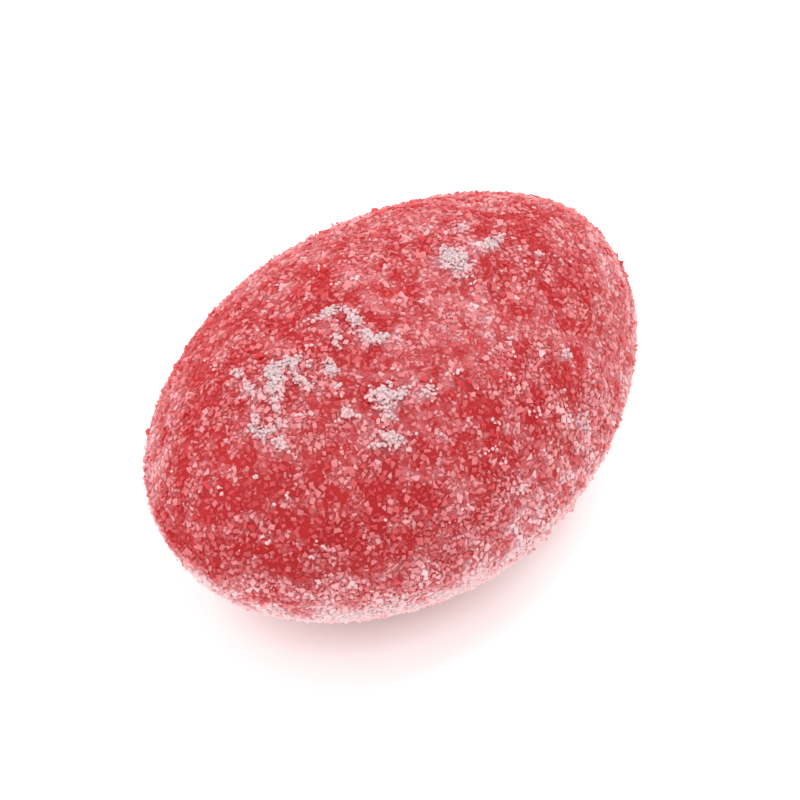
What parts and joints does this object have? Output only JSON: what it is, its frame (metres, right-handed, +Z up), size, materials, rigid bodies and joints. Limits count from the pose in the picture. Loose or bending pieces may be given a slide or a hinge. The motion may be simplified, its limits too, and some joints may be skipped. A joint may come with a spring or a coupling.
{
  "type": "hard candy",
  "caption": "Oval boiled sweet in translucent red, moulded in two domed halves with a low seam, rolled in fine sugar that cakes in white patches. It rests on a small flat.",
  "frame": {"origin": "middle of the sweet's box, at the small flat that it rests on", "axes": "+Z up, +X along the sweet towards its narrower end, +Y across it"},
  "size_m": [0.0266, 0.0184, 0.0131],
  "materials": {
    "sugared_red": "translucent red boiled sugar under a frosting of fine white sugar"
  },
  "bodies": {
    "root": {"candy": "sugared_red"}
  },
  "joints": []
}
